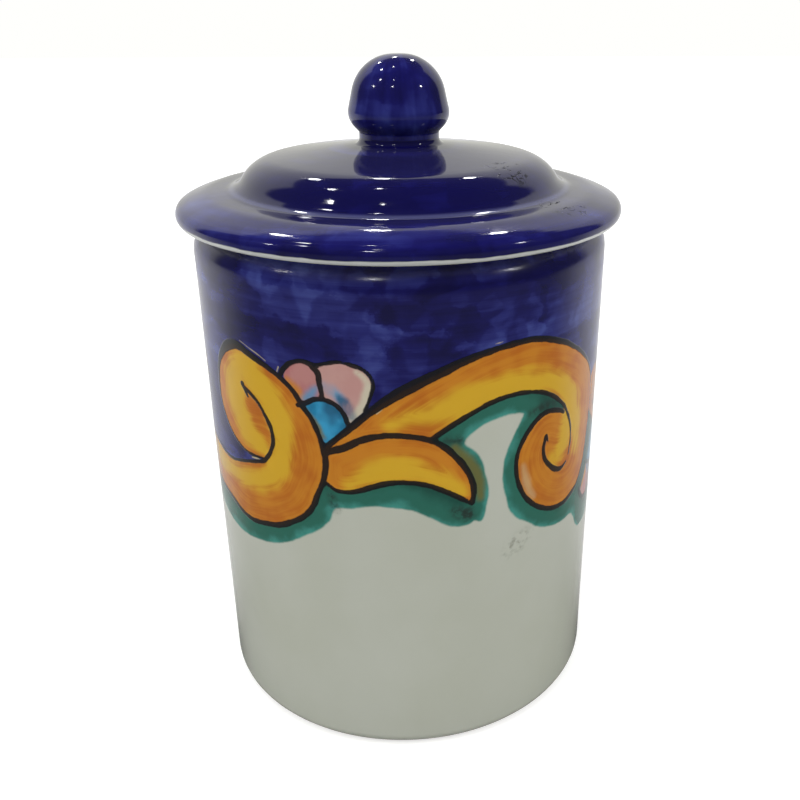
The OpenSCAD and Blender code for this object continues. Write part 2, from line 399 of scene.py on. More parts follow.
BUD_BASE_LINE = [
    (-21.3, 82.6, 1.2), (-19.5, 83.3, 1.2), (-17.6, 84.3, 1.2), (-15.3, 84.5, 1.2), (-13.4, 83.7, 1.2),
    (-11.8, 82, 1.2), (-11.1, 80, 1.1),
]
BUD_PALE_EDGE = [
    (-8.9, 90.7, 0.8), (-7.3, 89.4, 1.2), (-6.8, 87.6, 1.6), (-7.4, 84.9, 2), (-8.6, 82.6, 2),
    (-10.6, 80.8, 1),
]
BUD_WARM_EDGE = [(-23.4, 87.2, 1.6), (-21.7, 85.4, 2.4), (-20.3, 84.4, 1.4)]
BUD_SKY_STROKES = [
    [(-19.6, 84.2, 1.4), (-18.2, 85.4, 1.8), (-17.2, 86.6, 1.2)],
    [(-15.4, 87.4, 1.2), (-13.9, 86.4, 2.4), (-12.6, 85.2, 2)],
]
BUD_SMUDGES = [
    [(-12.6, 85.2, 1.2), (-11.2, 83.6, 2.6), (-10.4, 81.8, 1.8)],
    [(-14.4, 83.2, 1), (-12.8, 81.6, 1.8)],
]
BUD_BASE_EDGE = [(-20, 82, 1.2), (-17.9, 79.2, 1.8), (-16.2, 76.6, 1.2)]

# Bare slips of glaze that the brush missed
BARE_SLIPS = [
    [(-35.8, 92.9, 0.15), (-33, 92, 0.25), (-30.5, 91.2, 0.3), (-28.5, 90.3, 0.2)],
    [(-25.9, 88.3, 0.25), (-25.3, 89.7, 0.35)],
    [(-35.4, 67.3, 0.2), (-34, 67.6, 0.5), (-32.6, 67.6, 0.2)],
    [(17.5, 94.8, 0.1), (18.4, 94.9, 0.3), (19.2, 95, 0.1)],
    [(-5.4, 82.4, 0.3), (-4.4, 83.3, 0.3)],
]

# Grimy, pooled or overlapping brush marks, painted softly
SHADES = [
    [(9.6, 60.2, 2.6), (12.4, 59.2, 3.4)],
    [(-15.3, 64, 1.6), (-14.6, 60.8, 2)],
    [(7.6, 76.2, 1.4), (10.6, 76, 2)],
    [(26.6, 78.4, 1.6), (30, 79, 2), (33.5, 78.4, 1.4)],
]
OLIVES = [
    [(9.6, 74.4, 1.6), (12.6, 70.8, 2), (14.6, 66.8, 2), (15, 62.5, 1.4)],
    [(-14.5, 66, 1), (-11, 66.4, 1.4), (-7.5, 67.6, 1)],
]
# Thin place in the orange beside the curl, and a grey smear on the white below it
THIN_PLACE = [(25, 67, 0.8), (25.7, 64, 1.5), (26.8, 61, 1.5), (28.2, 58.9, 0.8)]
SMEAR = [(21.6, 47.6, 2.4), (23.8, 48.8, 4.4), (26.4, 50.2, 3)]

# Marks that came by chance, so that they are not repeated at the back
CHANCE_MARKS = ("bare", "shade", "smear", "thin")

# Lower edge of the green brushed along under the scrolls
GREEN_EDGE = [
    (-76.4, 48.5), (-71, 51.3), (-66, 51.3), (-60, 49.8), (-54, 48.2), (-46, 46.8), (-41.5, 46.6),
    (-37, 47), (-31.5, 48.1), (-26.5, 50), (-22.3, 52.7), (-18.6, 55.2), (-16, 57.7), (-14.6, 60.8),
    (-11.1, 61.4), (-7.2, 62.2), (-3, 62), (1.2, 61.2), (4.7, 59.3), (7.8, 57.3), (10.5, 56.7),
    (12.8, 56.8), (13.7, 57.4), (14.7, 57), (15.7, 57.5), (16.6, 61.4), (16.8, 63.3), (16.2, 66.8),
    (15.3, 70.6), (13.5, 73.3), (11.5, 75.4), (14.4, 78), (17.7, 79.2), (21.5, 79.5), (24.4, 79),
    (24, 77.6), (22.3, 74.7), (20.7, 71.3), (20, 68), (20, 64.7), (20.7, 61.3), (21.9, 57.6),
    (24, 55.1), (26.9, 53), (29.8, 50.9), (32.3, 49.7), (35.7, 48.8), (39.4, 48.4), (42.7, 48.4),
    (44.2, 46.7), (45.7, 44.2), (47.7, 42.4), (50.7, 42), (54, 42.2), (58, 42.8), (62, 45),
]
# Lower edge of the cobalt, which runs hidden along the middle of the scrolls
COBALT_EDGE = [
    (-90.1, 71.2), (-80, 66.5), (-72, 63.5), (-64, 61.5), (-54, 59.5), (-44, 59), (-34, 60), (-27, 64),
    (-21, 70), (-16.3, 73.9), (-11.8, 76.4), (-6, 80), (2, 83), (12, 86.5), (22, 88), (32, 86),
    (40, 81), (45.5, 73), (48, 69.5),
]
# Height over the whole jar, where what lies above an edge is closed off
CLOSING_Z = 130.0


def turned_over(line, onto=DIP_FORK, stretch=DIP_STRETCH):
    """A line of the rising scroll, turned over and laid along the dipping one."""
    flipped = []
    for u, z, *width in line:
        flipped.append((onto[0] + stretch * (u - FORK[0]), onto[1] - (z - FORK[1]), *width))
    return flipped


def hanging(line):
    """A line of the bud, turned over so that it hangs under the fork of the dipping scroll."""
    return turned_over(line, HANGING_FORK, 1.0)


def smooth_line(points, steps=8):
    """A line that runs smoothly through given points."""
    p = np.array(points, float)
    p = np.vstack([2 * p[0] - p[1], p, 2 * p[-1] - p[-2]])
    t = np.linspace(0, 1, steps, endpoint=False)[:, None]
    spans = []
    for a, b, c, d in zip(p, p[1:], p[2:], p[3:]):
        bend = a - 2.5 * b + 2 * c - d / 2
        twist = 1.5 * (b - c) + (d - a) / 2
        spans.append(b + (c - a) * t / 2 + bend * t**2 + twist * t**3)
    return np.vstack([*spans, p[-2:-1]])


def line_depth(spots, line):
    """How far inside a brush line each spot lies, in millimetres, below 0 outside it."""
    start, run = line[:-1, :2], np.diff(line[:, :2], axis=0)
    half = line[:, 2] / 2
    depth = np.empty(len(spots))
    for some in np.array_split(np.arange(len(spots)), max(1, len(spots) // 3000)):
        away = spots[some, None] - start
        along = np.clip((away * run).sum(2) / np.maximum((run**2).sum(1), 1e-9), 0, 1)
        gap = np.linalg.norm(away - along[..., None] * run, axis=2)
        depth[some] = (half[:-1] + along * np.diff(half) - gap).max(1)
    return depth


def fill_depth(spots, outline):
    """How far inside a closed outline each spot lies, in millimetres, below 0 outside it."""
    ring = np.vstack([outline[:, :2], outline[:1, :2]])
    gap = -line_depth(spots, np.column_stack([ring, np.zeros(len(ring))]))
    inside = np.zeros(len(spots), bool)
    for (u0, z0), (u1, z1) in zip(ring, ring[1:]):
        if z0 != z1:
            across = (z0 > spots[:, 1]) != (z1 > spots[:, 1])
            inside ^= across & (spots[:, 0] < u0 + (spots[:, 1] - z0) * (u1 - u0) / (z1 - z0))
    return np.where(inside, gap, -gap)


def painted(spots, lines=(), fills=()):
    """The greatest depth inside any of some lines and filled outlines, and their repeats to either side."""
    depth = np.full(len(spots), -FAR)
    for shapes, measure in ((lines, line_depth), (fills, fill_depth)):
        for shape in shapes:
            for shift in (-REPEAT, 0, REPEAT):
                moved = np.array(shape, float)
                moved[:, 0] += shift
                low, high = moved[:, :2].min(0) - FAR, moved[:, :2].max(0) + FAR
                near = np.flatnonzero(((spots > low) & (spots < high)).all(1))
                if len(near):
                    depth[near] = np.maximum(depth[near], measure(spots[near], moved))
    return depth


def above(spots, edge):
    """How far above an edge that runs on round the jar each spot lies, in millimetres."""
    turns = [np.array(edge) + (turn * REPEAT, 0) for turn in (-1, 0, 1)]
    run = smooth_line(np.vstack(turns), 5)
    run = run[abs(run[:, 0]) < REPEAT / 2 + 2 * FAR]
    roof = [(run[-1, 0], CLOSING_Z), (run[0, 0], CLOSING_Z)]
    return np.clip(fill_depth(spots, np.vstack([run, roof])), -FAR, 3 * FAR)


def scroll_fills():
    """The closed outlines that the orange and yellow glaze fill."""
    under = smooth_line(ARCH_UNDER[:ARCH_UNDER_TO_CURL])[::-1]
    leaf_top = smooth_line(LEAF_TOP[:6])[::-1]
    arch = np.vstack([smooth_line(ARCH_OUTER), under, leaf_top])
    leaf = np.vstack([smooth_line(LEAF_TOP), smooth_line(LEAF_BOTTOM)])
    dip_top = smooth_line(DIP_HOOK[DIP_HOOK_FROM_LOBE:])
    dip_leaf_side = smooth_line(turned_over(LEAF_TOP[:6]))[::-1]
    dip = np.vstack([smooth_line(DIP_OUTER), dip_top, dip_leaf_side])
    dip_leaf = np.vstack([smooth_line(turned_over(LEAF_TOP)), smooth_line(turned_over(LEAF_BOTTOM))])
    return arch, leaf, dip, dip_leaf


def paint_jar(piece):
    """Work out, for every point of the wall, how deep it lies in each colour, and store that as marks."""
    points = spots_of(piece)
    radius = np.hypot(points[:, 0], points[:, 1])
    wall = (radius > MOUTH_R + 2) & (points[:, 2] > FOOT_ROUND)
    round_u = WALL_R * np.arctan2(points[:, 0], -points[:, 1])
    folded = np.mod(round_u + REPEAT / 2, REPEAT) - REPEAT / 2
    places = np.column_stack([folded, points[:, 2]])[wall].round(3)
    spots, back = np.unique(places, axis=0, return_inverse=True)

    def buds(line):
        return [smooth_line(line), smooth_line(hanging(line))]

    def brushed(*lines):
        return [smooth_line(line) for line in lines]

    depths = {
        "cobalt": above(spots, COBALT_EDGE),
        "green": above(spots, GREEN_EDGE),
        "scroll": painted(spots, fills=scroll_fills()),
        "yellow": painted(spots, brushed(
            ARCH_YELLOW, ARCH_CURL_YELLOW, LEAF_YELLOW, DIP_YELLOW, DIP_LOBE_YELLOW,
            turned_over(LEAF_YELLOW))),
        "petal": painted(spots, fills=buds(BUD_LEFT_PETAL) + buds(BUD_RIGHT_PETAL)),
        "petal_pale": painted(spots, buds(BUD_PALE_EDGE)),
        "petal_warm": painted(spots, buds(BUD_WARM_EDGE)),
        "petal_deep": painted(spots, fills=buds(BUD_LEFT_PETAL)),
        "petal_sky": painted(spots, [line for stroke in BUD_SKY_STROKES for line in buds(stroke)]),
        "petal_smudge": painted(spots, [line for smudge in BUD_SMUDGES for line in buds(smudge)]),
        "bud_base": painted(spots, fills=buds(BUD_BASE)),
        "bare": painted(spots, brushed(*BARE_SLIPS)),
        "shade": painted(spots, brushed(*SHADES)),
        "olive": painted(spots, brushed(*OLIVES, BUD_BASE_EDGE)),
        "smear": painted(spots, brushed(SMEAR)),
        "thin": painted(spots, brushed(THIN_PLACE)),
        "ink": painted(spots, brushed(
            ARCH_OUTER, ARCH_UNDER, ARCH_HOOK, ARCH_BARB, LEAF_TOP, LEAF_BOTTOM,
            DIP_OUTER, DIP_HOOK, DIP_BARB, turned_over(LEAF_TOP[1:]), turned_over(LEAF_BOTTOM[:-2]))
            + buds(BUD_OUTLINE) + buds(BUD_DIVIDER) + buds(BUD_BASE_LINE)),
    }
    for name, depth in depths.items():
        values = np.full(len(points), -FAR)
        values[wall] = depth[back.ravel()]
        if name in CHANCE_MARKS:
            values[points[:, 1] > 0] = -FAR
        set_mark(piece, name, values)


def divide_finely(piece, lines, reach):
    """Cut the faces along thin brush lines at the front of the wall into nine each, to keep them crisp."""
    points = spots_of(piece)
    radius = np.hypot(points[:, 0], points[:, 1])
    places = np.column_stack([WALL_R * np.arctan2(points[:, 0], -points[:, 1]), points[:, 2]])
    near = np.zeros(len(points), bool)
    for line in lines:
        run = smooth_line(line)
        run[:, 2] = 2 * reach
        low, high = run[:, :2].min(0) - reach, run[:, :2].max(0) + reach
        some = np.flatnonzero(((places > low) & (places < high)).all(1) & (radius > MOUTH_R + 2))
        near[some] |= line_depth(places[some], run) > 0
    faces = [near[list(face.vertices)].any() for face in piece.data.polygons]
    for parts in (piece.data.vertices, piece.data.edges):
        parts.foreach_set("select", np.zeros(len(parts), bool))
    piece.data.polygons.foreach_set("select", faces)
    bpy.context.tool_settings.mesh_select_mode = (False, False, True)
    bpy.ops.object.mode_set(mode="EDIT")
    bpy.ops.mesh.subdivide(number_cuts=2)
    bpy.ops.object.mode_set(mode="OBJECT")
    bpy.context.tool_settings.mesh_select_mode = (True, False, False)


# Materials

class Nodes:
    """A node tree, built up one node at a time."""

    def __init__(self, tree):
        self.tree = tree

    def put(self, socket, value):
        if isinstance(value, bpy.types.NodeSocket):
            self.tree.links.new(value, socket)
        else:
            socket.default_value = value

    def node(self, kind, inputs=None, **settings):
        made = self.tree.nodes.new(kind)
        for name, value in settings.items():
            setattr(made, name, value)
        for name, value in (inputs or {}).items():
            self.put(made.inputs[name], value)
        return made

    def math(self, operation, first, second=0.0):
        return self.node("ShaderNodeMath", {0: first, 1: second}, operation=operation).outputs[0]

    def noise(self, vector, scale=1.0, detail=3.0, rough=0.55, twist=0.0):
        inputs = {"Vector": vector, "Scale": scale, "Detail": detail}
        inputs |= {"Roughness": rough, "Distortion": twist}
        return self.node("ShaderNodeTexNoise", inputs).outputs["Fac"]

    def spread(self, value, low, high, to_low=0.0, to_high=1.0, smooth=True):
        inputs = {"Value": value, "From Min": low, "From Max": high}
        inputs |= {"To Min": to_low, "To Max": to_high}
        kind = "SMOOTHSTEP" if smooth else "LINEAR"
        return self.node("ShaderNodeMapRange", inputs, interpolation_type=kind).outputs["Result"]

    def mix(self, amount, first, second):
        made = self.node("ShaderNodeMix", data_type="RGBA")
        for index, value in ((0, amount), (6, first), (7, second)):
            self.put(made.inputs[index], value)
        return made.outputs[2]

    def shades(self, value, *stops):
        ramp = self.node("ShaderNodeValToRGB", {"Fac": value})
        while len(ramp.color_ramp.elements) < len(stops):
            ramp.color_ramp.elements.new(0.5)
        for element, (place, colour) in zip(ramp.color_ramp.elements, stops):
            element.position = place
            element.color = colour
        return ramp.outputs["Color"]


GLAZE_IOR = 1.5
SILICONE_IOR = 1.41


class Finish(Nodes):
    """A procedural material."""

    def __init__(self, name):
        self.material = bpy.data.materials.new(name)
        self.material.use_nodes = True
        super().__init__(self.material.node_tree)
        self.shader = self.tree.nodes["Principled BSDF"]
        self.place = self.node("ShaderNodeTexCoord").outputs["Object"]

    def mark(self, name):
        return self.node("ShaderNodeAttribute", attribute_name=name).outputs["Fac"]

    def stretched(self, along, spin=(0, 0, 0), place=None):
        inputs = {"Vector": place or self.place, "Scale": along, "Rotation": spin}
        return self.node("ShaderNodeMapping", inputs).outputs[0]

    def moved(self, place, by):
        return self.node("ShaderNodeVectorMath", {0: place, 1: by}, operation="ADD").outputs[0]

    def bump(self, height, depth, strength, under=None):
        inputs = {"Height": height, "Distance": depth * MM, "Strength": strength}
        if under is not None:
            inputs["Normal"] = under
        return self.node("ShaderNodeBump", inputs).outputs["Normal"]

    def glossy(self, colour, roughness, normal, dust):
        """A glaze with a thin veil of dust on it."""
        self.put(self.shader.inputs["Base Color"], colour)
        self.put(self.shader.inputs["Roughness"], roughness)
        self.put(self.shader.inputs["Normal"], normal)
        self.shader.inputs["IOR"].default_value = GLAZE_IOR
        self.shader.inputs["Sheen Weight"].default_value = dust
        self.shader.inputs["Sheen Roughness"].default_value = 0.4
        return self.material


def pinholes(finish, rarity, strength):
    """Pinpricks in a glaze, scattered thinly."""
    grains = finish.node("ShaderNodeTexVoronoi", {"Vector": finish.place, "Scale": 130.0})
    chosen = finish.spread(grains.outputs["Color"], rarity, rarity + 0.03)
    prick = finish.spread(grains.outputs["Distance"], 0.05, 0.015)
    return finish.math("MULTIPLY", finish.math("MULTIPLY", chosen, prick), strength)


def white_glaze(finish, clear, shadow):
    """Tin-white glaze with a faint mottle and a few dark pinholes."""
    mottle = finish.noise(finish.stretched((34, 34, 26)), detail=3)
    white = finish.mix(finish.spread(mottle, 0.35, 0.7), clear, shadow)
    return finish.mix(pinholes(finish, 0.90, 0.35), white, OLIVE)


def cobalt_brush(finish, streak_place, thin_glaze_and_painted_shade, streaky, dabbed, bristles=6):
    """Cobalt laid on in overlapping dabs, each of one density, crossed by the streaks of its bristles.
    Streaky and dabbed say how strongly each shows."""
    wander = finish.noise(finish.stretched((110, 110, 130)), detail=5, rough=0.65)

    def dabs(size, spin, bend, soft):
        place = finish.moved(finish.stretched(size, spin), finish.math("MULTIPLY", wander, bend))
        inputs = {"Vector": place, "Scale": 1.0, "Smoothness": soft}
        cells = finish.node("ShaderNodeTexVoronoi", inputs, feature="SMOOTH_F1")
        return finish.node("ShaderNodeSeparateColor", {"Color": cells.outputs["Color"]}).outputs[0]

    layers = (
        (0.44, finish.noise(finish.place, 48.0, detail=3)),
        (streaky, finish.noise(streak_place, detail=bristles, rough=0.62, twist=0.2)),
        (0.18 * dabbed, dabs((80, 80, 190), (0.15, 0.1, 0.3), 0.9, 0.3)),
        (0.12 * dabbed, dabs((170, 170, 90), (0.1, 0.25, 0.0), 0.9, 0.25)),
        (0.12 * dabbed, dabs((230, 230, 320), (0.3, 0.2, 0.5), 1.2, 0.35)),
    )
    # The thinning given also carries painted shade: under the lid's rim on the jar, and on the lid's dome
    thickness = finish.math("ADD", thin_glaze_and_painted_shade, 0.5)
    for share, layer in layers:
        swing = finish.spread(layer, 0.0, 1.0, -share / 2, share / 2, smooth=False)
        thickness = finish.math("ADD", thickness, swing)
    return finish.shades(
        thickness, (0.36, COBALT_DEEP), (0.47, COBALT), (0.57, COBALT_THIN), (0.74, COBALT_PALE))


def glaze_surface(finish, relief=None):
    """Roughness and fine unevenness of a fired glaze, with any painted relief under it."""
    worn = finish.noise(finish.place, 220.0, detail=4)
    roughness = finish.spread(worn, 0.3, 0.75, 0.045, 0.11)
    ripple = finish.noise(finish.place, 140.0, detail=2)
    normal = finish.bump(ripple, 0.05, 0.6)
    peel = finish.noise(finish.place, 900.0, detail=2)
    normal = finish.bump(peel, 0.008, 0.5, normal)
    if relief is not None:
        normal = finish.bump(relief, 0.06, 0.7, normal)
    return roughness, normal


# Softness of a painted edge and how far it wanders, in millimetres
BRUSH_EDGE = 0.16
BRUSH_SHAKE = 0.22


class Painted(Finish):
    """The jar's finish: colours laid inside the marks on its wall by a brush that wanders a little."""

    def __init__(self, name):
        super().__init__(name)
        self.height = self.node("ShaderNodeSeparateXYZ", {"Vector": self.place}).outputs["Z"]
        self.wash = self.noise(self.place, 130.0, detail=2)
        self.grit = self.spread(self.noise(self.place, 700.0, detail=4), 0.45, 0.7)
        shake = self.noise(self.place, 420.0, detail=3)
        self.shake = self.spread(shake, 0.25, 0.75, -BRUSH_SHAKE, BRUSH_SHAKE, smooth=False)

    def depth(self, name):
        """How deep inside a mark the brush sees a spot."""
        return self.math("ADD", self.mark(name), self.shake)

    def steady_depth(self, name, shaking):
        """The same for a steadier hand."""
        return self.math("ADD", self.mark(name), self.math("MULTIPLY", self.shake, shaking))

    def laid(self, name):
        """A colour that fills its mark."""
        return self.spread(self.depth(name), -BRUSH_EDGE, BRUSH_EDGE)

    def softly(self, name, outer, inner, most):
        """A colour that fades in between two depths."""
        return self.spread(self.depth(name), outer, inner, 0.0, most)


def smeared_white(finish):
    """The white ground, with a grey smear."""
    white = white_glaze(finish, WHITE, WHITE_SHADOW)
    smear = finish.math("MULTIPLY", finish.spread(finish.mark("smear"), -1.5, 1.5), finish.grit)
    return finish.mix(finish.math("MULTIPLY", smear, 0.6), white, GRIME)


def green_wash(finish, ground):
    """Green under the scrolls, paler towards its outer edge."""
    pool = finish.noise(finish.place, 170.0, detail=4)
    inside = finish.math("ADD", finish.mark("green"), finish.spread(pool, 0.2, 0.8, -1.2, 1.2))
    green = finish.mix(finish.spread(inside, -0.6, 1.8), TEAL_PALE, TEAL)
    green = finish.mix(finish.spread(inside, 3.0, 6.5), green, TEAL_DEEP)
    return finish.mix(finish.spread(finish.steady_depth("green", 0.6), -0.3, 0.3), ground, green)


def cobalt_ground(finish, ground):
    """Cobalt above the scrolls, a little darker towards the lid as painted shade under its rim, with pale
    pinpricks.
    """
    streak_place = finish.stretched((22, 22, 520), (0.05, 0.02, 0))
    # Darker cobalt towards the lid: painted shade under the lid's rim
    painted_shade_under_lid = finish.spread(finish.height, (LIP_Z - 9.6) * MM, (LIP_Z - 3.6) * MM, 0.035, -0.02)
    cobalt = cobalt_brush(finish, streak_place, painted_shade_under_lid, 0.3, 1.0)
    cobalt = finish.mix(pinholes(finish, 0.93, 0.6), cobalt, PINPRICK)
    return finish.mix(finish.laid("cobalt"), ground, cobalt)


def dark_marks(finish, ground):
    """Olive and dark brush marks beside the leaf, over the green and under the scrolls."""
    ground = finish.mix(finish.softly("olive", -0.9, 0.7, 0.75), ground, OLIVE)
    grain = finish.spread(finish.noise(finish.place, 800.0, detail=4), 0.38, 0.6, 0.3, 0.95)
    blot = finish.math("MULTIPLY", finish.softly("shade", -0.9, 1.4, 1.0), grain)
    return finish.mix(blot, ground, BLOT)


def scroll_colours(finish, ground):
    """Orange scrolls with yellow lights, streaked along the brush, and thin in one place."""
    across = finish.math("MULTIPLY", finish.mark("scroll"), 0.7)
    strands = finish.noise(finish.moved(finish.stretched((90, 90, 90)), across), detail=5, rough=0.55)
    tone = finish.math("MULTIPLY", finish.wash, 0.55)
    tone = finish.math("ADD", finish.math("MULTIPLY", strands, 0.45), tone)
    warm = finish.mix(finish.spread(tone, 0.34, 0.6), ORANGE_DEEP, ORANGE)
    lit = finish.math("ADD", finish.mark("yellow"), finish.spread(tone, 0.3, 0.7, -1.1, 1.1))
    warm = finish.mix(finish.spread(lit, -1.5, 1.2, 0.0, 0.94), warm, YELLOW)
    warm = finish.mix(finish.softly("thin", -0.9, 0.7, 0.45), warm, SLIP)
    return finish.mix(finish.laid("scroll"), ground, warm)


def bud_colours(finish, ground):
    """Pink petals with a pale side, a warm side and blue drawn up from the blue base."""
    blush = finish.noise(finish.stretched((190, 190, 120), (0, 0.6, 0)), detail=4)
    wisps = finish.spread(blush, 0.3, 0.55, 0.35, 1.0)
    drawn = finish.math("MULTIPLY", finish.softly("petal_sky", -0.9, 0.9, 0.75), wisps)
    dragged = finish.math("MULTIPLY", finish.softly("petal_smudge", -0.8, 0.7, 0.85), wisps)
    pink = finish.mix(finish.spread(finish.mark("petal_deep"), -0.2, 0.2), PINK, PINK_DEEP)
    rosy = finish.spread(finish.mark("petal_deep"), -0.2, 0.2, 0.2, 1.0)
    rosy = finish.math("MULTIPLY", finish.spread(blush, 0.4, 0.6, 0.0, 0.8), rosy)
    pink = finish.mix(rosy, pink, ROSE)
    pink = finish.mix(finish.softly("petal_pale", -0.7, 0.6, 0.9), pink, CREAM)
    pink = finish.mix(finish.softly("petal_warm", -0.9, 0.7, 0.85), pink, ORANGE)
    pink = finish.mix(drawn, pink, SKY_PALE)
    pink = finish.mix(dragged, pink, SKY_DEEP)
    sky = finish.mix(finish.spread(blush, 0.42, 0.64), SKY_PALE, SKY)
    sky = finish.mix(finish.spread(finish.wash, 0.46, 0.64, 0.0, 0.85), sky, SKY_DEEP)
    sky = finish.mix(dragged, sky, SKY_DEEP)
    sky = finish.mix(finish.softly("olive", -0.5, 0.5, 0.85), sky, OLIVE)
    ground = finish.mix(finish.laid("petal"), ground, pink)
    return finish.mix(finish.laid("bud_base"), ground, sky)


def bare_slips(finish, ground):
    """Slips of glaze that the brush missed."""
    return finish.mix(finish.spread(finish.steady_depth("bare", 0.3), -0.1, 0.14, 0.0, 0.8), ground, SLIP)


def painted_jar_glaze():
    finish = Painted("jar_glaze")
    colour = smeared_white(finish)
    for layer in (green_wash, cobalt_ground, dark_marks, scroll_colours, bud_colours, bare_slips):
        colour = layer(finish, colour)
    # Dark outlines over everything
    ink = finish.spread(finish.steady_depth("ink", 0.6), -0.08, 0.16)
    colour = finish.mix(finish.math("MULTIPLY", ink, 0.97), colour, INK)
    # The foot ring is wiped clean of glaze
    wiped = finish.spread(finish.height, 0.5 * MM, 0.25 * MM)
    clay = finish.mix(finish.spread(finish.grit, 0.2, 0.8), BISCUIT, BISCUIT_DARK)
    colour = finish.mix(wiped, colour, clay)
    # Under the lid the glaze is scuffed by handling
    roughness, normal = glaze_surface(finish, ink)
    scuffed = finish.spread(finish.height, (LIP_Z - 11.6) * MM, (LIP_Z - 7.6) * MM, 0.0, 0.12)
    roughness = finish.math("ADD", roughness, scuffed)
    roughness = finish.math("MAXIMUM", roughness, finish.math("MULTIPLY", wiped, 0.8))
    return finish.glossy(colour, roughness, normal, 0.03)


# Scraped places on the lid: centre and reach in millimetres
SCRAPES = (((21.5, -19.2, 123.4), 6.5), ((31.6, -25.2, 116.3), 6.0))


def scraped(finish):
    """Thin dark scrapes in the lid's glaze, in a few places."""
    bend = finish.spread(finish.noise(finish.place, 420.0, detail=2), 0.0, 1.0, -0.9, 0.9, smooth=False)
    inputs = {"Vector": finish.moved(finish.stretched((260, 260, 260)), bend), "Scale": 1.0}
    cracks = finish.node("ShaderNodeTexVoronoi", inputs, feature="DISTANCE_TO_EDGE")
    lines = finish.spread(cracks.outputs["Distance"], 0.07, 0.03)
    broken = finish.spread(finish.noise(finish.place, 330.0, detail=1), 0.44, 0.5)
    lines = finish.math("MULTIPLY", lines, broken)
    near = 0.0
    for centre, reach in SCRAPES:
        spot = Vector(centre) * MM
        away = finish.node("ShaderNodeVectorMath", {0: finish.place, 1: spot}, operation="DISTANCE")
        close = finish.spread(away.outputs["Value"], reach * MM, 0.5 * reach * MM)
        near = finish.math("MAXIMUM", close, near)
    return finish.math("MULTIPLY", lines, near)


def knob_glaze():
    """Cobalt brushed up the knob."""
    finish = Finish("knob_glaze")
    parts = finish.node("ShaderNodeSeparateXYZ", {"Vector": finish.place}).outputs
    flat = finish.node("ShaderNodeCombineXYZ", {"X": parts["X"], "Y": parts["Y"]}).outputs[0]
    bearing = finish.node("ShaderNodeVectorMath", {0: flat}, operation="NORMALIZE").outputs[0]
    bristles = finish.stretched((2.6, 2.6, 1), place=bearing)
    streak_place = finish.moved(bristles, finish.stretched((40, 40, 50)))
    colour = cobalt_brush(finish, streak_place, -0.03, 0.4, 0.5, 2)
    roughness, normal = glaze_surface(finish)
    return finish.glossy(colour, roughness, normal, 0.05)


def lid_glaze():
    finish = Finish("lid_glaze")
    parts = finish.node("ShaderNodeSeparateXYZ", {"Vector": finish.place}).outputs
    flat = finish.node("ShaderNodeCombineXYZ", {"X": parts["X"], "Y": parts["Y"]}).outputs[0]
    radius = finish.node("ShaderNodeVectorMath", {0: flat}, operation="LENGTH").outputs["Value"]
    rings = finish.node("ShaderNodeCombineXYZ", {"X": radius, "Y": parts["Z"]}).outputs[0]
    ring_place = finish.stretched((330, 330, 1), place=rings)
    slow = finish.stretched((24, 24, 10))
    streak_place = finish.moved(ring_place, slow)

    def ring(inner, outer, soft, amount):
        far_in = finish.spread(radius, (inner - soft) * MM, inner * MM)
        far_out = finish.spread(radius, (outer + soft) * MM, outer * MM, 0.0, amount)
        return finish.math("MULTIPLY", far_in, far_out)

    # Darker on the dome as painted shade against the light from above, lighter out on the rim and thinner
    # beside the knob's neck, and a pale grey ring in the cove
    thin_glaze_and_painted_shade = finish.spread(radius, (DOME_R - 1.2) * MM, (RIM_R - 3.9) * MM, -0.2, -0.05)
    thin_glaze_and_painted_shade = finish.math("ADD", thin_glaze_and_painted_shade, ring(NECK_R + 3.6, NECK_R + 6, 0.8, 0.12))
    cobalt = cobalt_brush(finish, streak_place, thin_glaze_and_painted_shade, 0.36, 0.5)
    # A pale grey ring in the cove at the dome's foot
    cobalt = finish.mix(ring(COVE_R - 0.1, COVE_R + 0.1, 0.8, 0.32), cobalt, COVE_PALE_GREY)
    scrapes = scraped(finish)
    cobalt = finish.mix(finish.math("MULTIPLY", scrapes, 0.9), cobalt, SCRAPE)
    # The rim's lower edge and the whole underside stay white, in a lighter white than the jar's: painted
    # light against the shade under the rim
    wave = finish.noise(finish.place, 60.0, detail=3)
    edge = finish.math("ADD", parts["Z"], finish.spread(wave, 0.3, 0.7, -0.25 * MM, 0.25 * MM))
    above_edge = finish.spread(edge, (LIP_Z + 1.7) * MM, (LIP_Z + 2) * MM)
    top = finish.math("MULTIPLY", finish.mark("painted"), above_edge)
    colour = finish.mix(top, white_glaze(finish, LID_WHITE_PAINTED_LIGHT, LID_WHITE_PAINTED_LIGHT_MOTTLE), cobalt)
    roughness, normal = glaze_surface(finish)
    roughness = finish.math("MAXIMUM", roughness, finish.math("MULTIPLY", scrapes, 0.7))
    return finish.glossy(colour, roughness, normal, 0.04)


def silicone():
    finish = Finish("seal_silicone")
    cloud = finish.noise(finish.place, 300.0, detail=3)
    colour = finish.mix(finish.spread(cloud, 0.3, 0.7), SILICONE, SILICONE_SHADOW)
    roughness = finish.spread(cloud, 0.3, 0.7, 0.34, 0.46)
    dust = finish.noise(finish.place, 2600.0, detail=2)
    finish.put(finish.shader.inputs["Base Color"], colour)
    finish.put(finish.shader.inputs["Roughness"], roughness)
    finish.put(finish.shader.inputs["Normal"], finish.bump(dust, 0.01, 0.5))
    finish.shader.inputs["IOR"].default_value = SILICONE_IOR
    finish.shader.inputs["Subsurface Weight"].default_value = 0.2
    finish.shader.inputs["Subsurface Radius"].default_value = (2 * MM, 2 * MM, 2 * MM)
    return finish.material


# Pieces

def dress(piece, material, body, node):
    """Give a finished piece its material, hang it on its body, and hide the solid that it stands for."""
    piece.data.materials.clear()
    piece.data.materials.append(material)
    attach(piece, body)
    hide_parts(node)


